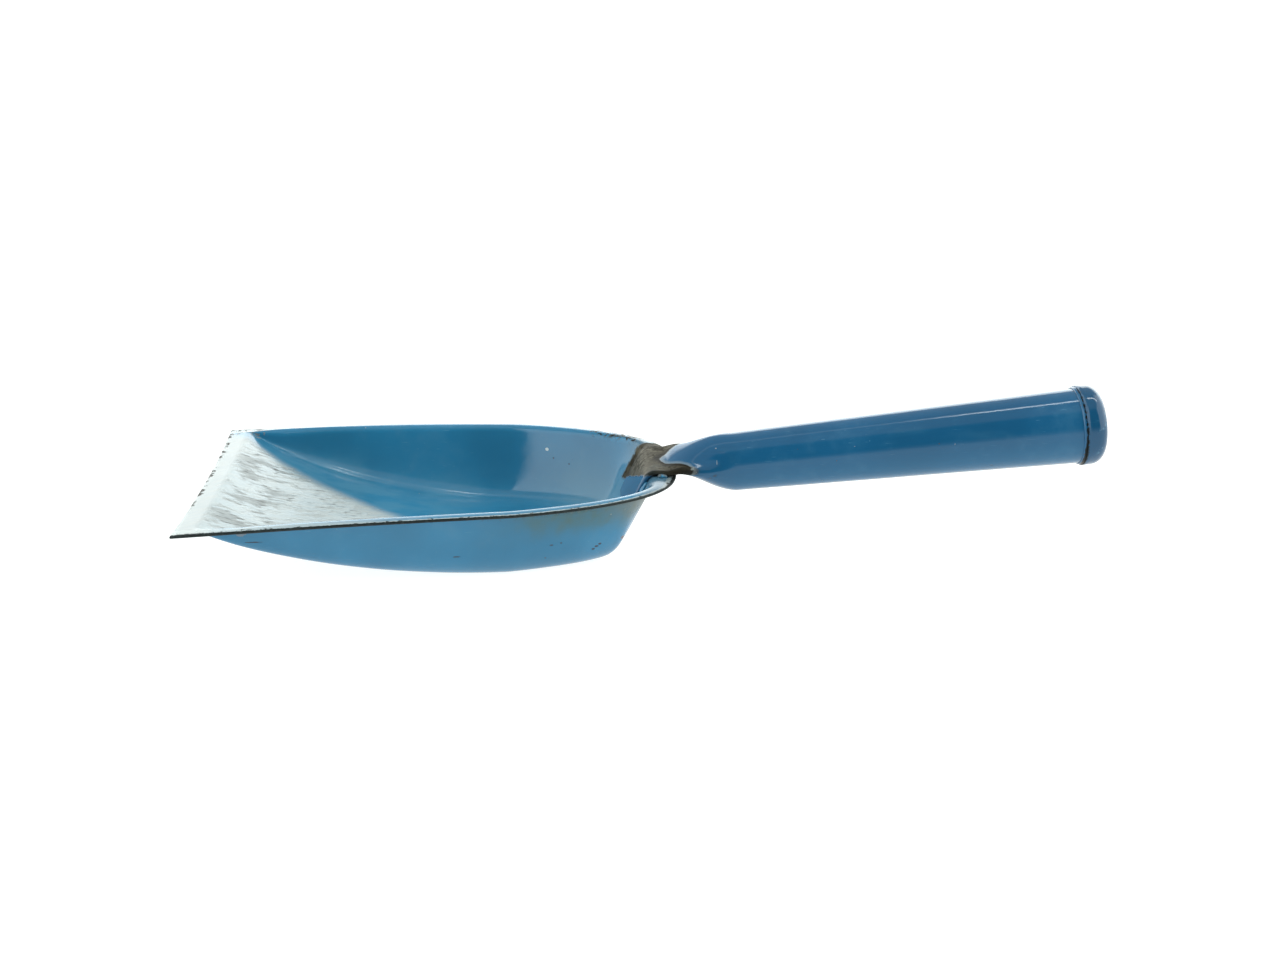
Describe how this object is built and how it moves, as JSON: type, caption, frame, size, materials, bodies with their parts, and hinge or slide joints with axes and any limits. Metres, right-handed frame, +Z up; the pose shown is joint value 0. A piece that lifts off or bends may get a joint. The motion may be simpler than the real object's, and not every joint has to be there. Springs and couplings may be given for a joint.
{
  "type": "grain scoop",
  "caption": "Enamelled sheet-steel hand scoop: shallow pressed pan with a flat front lip and rolled-out rim, on a hollow tapered handle with a domed cap.",
  "frame": {"origin": "middle of the scoop's length and width, on the surface it rests on", "axes": "+X runs from the mouth of the pan to the end of the handle, +Z is up, and +Y completes the right-handed frame, across the pan"},
  "size_m": [0.3004, 0.1076, 0.0515],
  "materials": {
    "pan_enamel": "glossy blue vitreous enamel, worn and scratched, chipped to dark steel at the edges",
    "handle_enamel": "glossy blue vitreous enamel, burnt brown and bare on the flattened tang",
    "cap_enamel": "glossy blue vitreous enamel",
    "seam_braze": "enamel over a brazed bead, chipped dark",
    "tang_weld": "enamel over weld beads, worn to brown in places"
  },
  "bodies": {
    "root": {"scoop_pan": "pan_enamel", "handle_tube": "handle_enamel", "end_cap": "cap_enamel", "cap_seam_braze": "seam_braze", "tang_welds": "tang_weld"}
  },
  "joints": []
}
